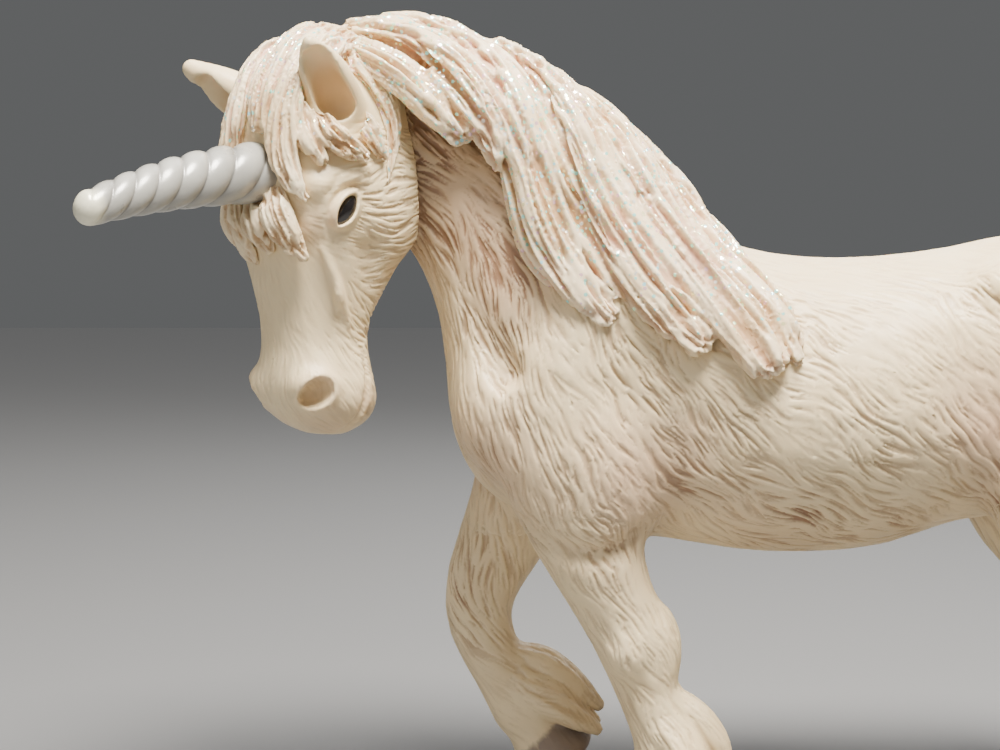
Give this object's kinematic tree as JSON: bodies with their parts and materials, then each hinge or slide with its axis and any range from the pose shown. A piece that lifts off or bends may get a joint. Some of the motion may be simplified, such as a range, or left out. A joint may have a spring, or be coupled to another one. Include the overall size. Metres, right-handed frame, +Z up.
{
  "type": "toy unicorn figure",
  "caption": "Moulded toy unicorn standing with its head turned and lowered, one foreleg bent, spiral horn, and a long mane falling over one side of the neck.",
  "frame": {"origin": "centre of the figure's bounding box, on the ground plane under the hooves", "axes": "+Z up; the figure faces -X, its left side faces -Y and its tail is towards +X"},
  "size_m": [0.1553, 0.0577, 0.11],
  "materials": {
    "body_vinyl": "satin ivory vinyl with short grooved hair and a brown wash in the hollows",
    "hair_vinyl": "satin cream vinyl, grooved locks, pink-brown wash, fine glitter on the crest",
    "horn_vinyl": "pearl grey with a cream tip",
    "eye_lacquer": "gloss black"
  },
  "bodies": {
    "root": {"torso": "body_vinyl", "head": "body_vinyl", "left_foreleg": "body_vinyl", "right_foreleg": "body_vinyl", "left_hind_leg": "body_vinyl", "right_hind_leg": "body_vinyl", "mane": "hair_vinyl", "forelock": "hair_vinyl", "tail": "hair_vinyl", "horn": "horn_vinyl", "left_eye": "eye_lacquer", "right_eye": "eye_lacquer"}
  },
  "joints": []
}
